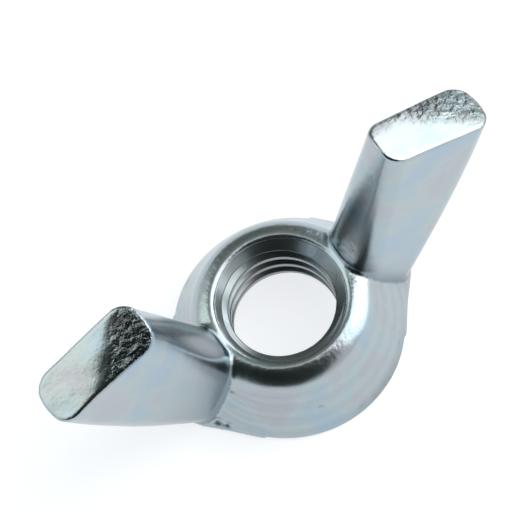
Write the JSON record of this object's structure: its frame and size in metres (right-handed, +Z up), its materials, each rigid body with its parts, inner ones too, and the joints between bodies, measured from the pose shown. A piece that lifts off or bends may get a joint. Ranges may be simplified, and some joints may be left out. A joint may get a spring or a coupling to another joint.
{
  "type": "wing nut",
  "caption": "Forged wing nut: conical boss with a tapped through hole, countersunk at both ends, and two leaning thumb wings with flat sloping end faces.",
  "frame": {"origin": "centre of the seating face, on the thread axis", "axes": "+Z up the thread axis from the seating face towards the wing tips, X through both wings, Y across their broad sides"},
  "size_m": [0.032, 0.015, 0.0166],
  "materials": {
    "zinc_plated_steel": "bright zinc plate with a clear blue passivation over forged steel"
  },
  "bodies": {
    "root": {"boss": "zinc_plated_steel", "left_wing": "zinc_plated_steel", "right_wing": "zinc_plated_steel"}
  },
  "joints": []
}
